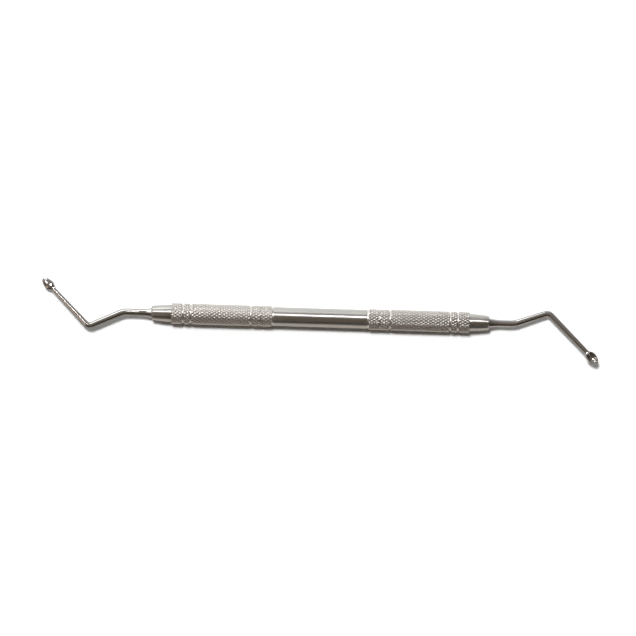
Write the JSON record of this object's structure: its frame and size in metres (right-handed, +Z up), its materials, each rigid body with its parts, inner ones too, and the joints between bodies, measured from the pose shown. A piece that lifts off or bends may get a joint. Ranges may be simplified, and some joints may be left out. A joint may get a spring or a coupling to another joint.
{
  "type": "double-ended dental curette",
  "caption": "Slim double-ended hand instrument: hollow round knurled handle with ring grooves, tapered noses, and bent shanks that end in small hollowed spoons facing opposite ways.",
  "frame": {"origin": "on the handle's axis, half way between its two noses", "axes": "+X along the handle to the end whose bowl opens upward, +Z up from the table the instrument lies on, +Y completing the right-handed set"},
  "size_m": [0.173, 0.0216, 0.0064],
  "materials": {
    "polished_steel": "bright polish with faint turning lines",
    "satin_steel": "satin, diamond knurled",
    "turned_steel": "fine turned satin",
    "tip_steel": "bright polish",
    "inner_steel": "plain machined"
  },
  "bodies": {
    "root": {"centre_barrel": "polished_steel", "left_grip": "satin_steel", "right_grip": "satin_steel", "left_nose": "turned_steel", "right_nose": "turned_steel", "left_working_end": "tip_steel", "right_working_end": "tip_steel", "left_joining_stud": "inner_steel", "right_joining_stud": "inner_steel", "left_tang_pin": "inner_steel", "right_tang_pin": "inner_steel"}
  },
  "joints": []
}
